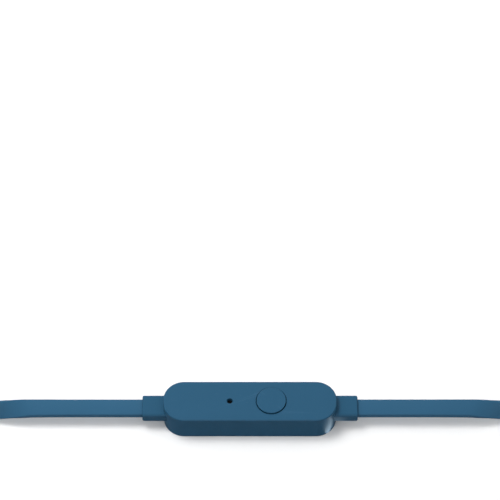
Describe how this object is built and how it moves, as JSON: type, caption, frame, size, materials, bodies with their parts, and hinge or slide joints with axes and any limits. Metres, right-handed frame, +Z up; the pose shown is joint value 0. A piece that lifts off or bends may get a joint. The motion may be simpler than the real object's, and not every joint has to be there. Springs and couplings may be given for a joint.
{
  "type": "wired in-ear earphones with in-line remote",
  "caption": "Wired in-ear earphones: a slim in-line remote with a round push button and a microphone hole on a flat cable, wound to bullet earpieces and a straight jack plug.",
  "frame": {"origin": "centre of the remote's flat underside", "axes": "+X along the cable through the remote, towards the plug; +Z up from the underside through the button; +Y across the remote, away from the wound cable"},
  "size_m": [0.1389, 0.0609, 0.0119],
  "materials": {
    "navy_plastic": "semi-gloss moulded, slate navy-blue",
    "navy_button": "semi-gloss moulded, slate navy-blue",
    "navy_relief": "satin soft-touch overmould, slate navy-blue",
    "navy_cable": "satin elastomer cable jacket, slate navy-blue",
    "black_plastic": "matt black",
    "black_rubber": "matt black rubber",
    "tip_silicone": "matt grey silicone",
    "bright_steel": "satin",
    "gold_plate": "polished gold plate",
    "copper_wire": "enamelled wire",
    "board": "green solder mask",
    "ceramic_chip": "matt ceramic",
    "diaphragm_film": "thin translucent film"
  },
  "bodies": {
    "remote_and_cables": {"branch_hank": "navy_cable", "branch_tie_back": "black_rubber", "branch_tie_front": "black_rubber", "cable_splitter": "navy_plastic", "capacitor": "ceramic_chip", "circuit_board": "board", "ground_wire_to_ears": "copper_wire", "ground_wire_to_plug": "copper_wire", "left_cable": "navy_cable", "left_ear_driver_diaphragm": "diaphragm_film", "left_ear_driver_frame": "black_plastic", "left_ear_driver_magnet": "bright_steel", "left_ear_front_housing": "navy_plastic", "left_ear_nozzle_mesh": "bright_steel", "left_ear_rear_cover": "navy_plastic", "left_ear_strain_relief": "black_rubber", "left_ear_tip": "tip_silicone", "left_strain_relief": "navy_relief", "left_wire_to_ears": "copper_wire", "left_wire_to_plug": "copper_wire", "lower_cover": "navy_plastic", "main_hank": "navy_cable", "main_tie_back": "black_rubber", "main_tie_front": "black_rubber", "microphone_boot": "black_rubber", "microphone_can": "bright_steel", "microphone_mesh": "black_plastic", "microphone_wire_to_plug": "copper_wire", "plug_collar": "bright_steel", "plug_handle": "navy_plastic", "plug_insulator_base": "black_plastic", "plug_insulator_middle": "black_plastic", "plug_insulator_tip": "black_plastic", "plug_ring_inner": "gold_plate", "plug_ring_outer": "gold_plate", "plug_sleeve": "gold_plate", "plug_strain_relief": "navy_relief", "plug_tip": "gold_plate", "resistor": "black_plastic", "right_cable": "navy_cable", "right_ear_driver_diaphragm": "diaphragm_film", "right_ear_driver_frame": "black_plastic", "right_ear_driver_magnet": "bright_steel", "right_ear_front_housing": "navy_plastic", "right_ear_nozzle_mesh": "bright_steel", "right_ear_rear_cover": "navy_plastic", "right_ear_strain_relief": "black_rubber", "right_ear_tip": "tip_silicone", "right_strain_relief": "navy_relief", "right_wire_to_ears": "copper_wire", "right_wire_to_plug": "copper_wire", "switch_base": "black_plastic", "switch_cover_plate": "bright_steel", "switch_dome": "bright_steel", "upper_shell": "navy_plastic"},
    "button": {"button_cap": "navy_button"},
    "plunger": {"switch_plunger": "black_plastic"}
  },
  "joints": [
    {"name": "button_press", "type": "slide", "parent": "remote_and_cables", "child": "button", "axis": [0, 0, -1], "range_m": [0, 0.00025], "stiffness_N_per_m": 800, "springref_m": -0.001},
    {"name": "switch_press", "type": "slide", "parent": "remote_and_cables", "child": "plunger", "axis": [0, 0, -1], "range_m": [0, 0.0004], "deforming": ["switch_dome"]}
  ],
  "couplings": [
    {"joint": "switch_press", "follows": "button_press", "ratio": 1}
  ]
}
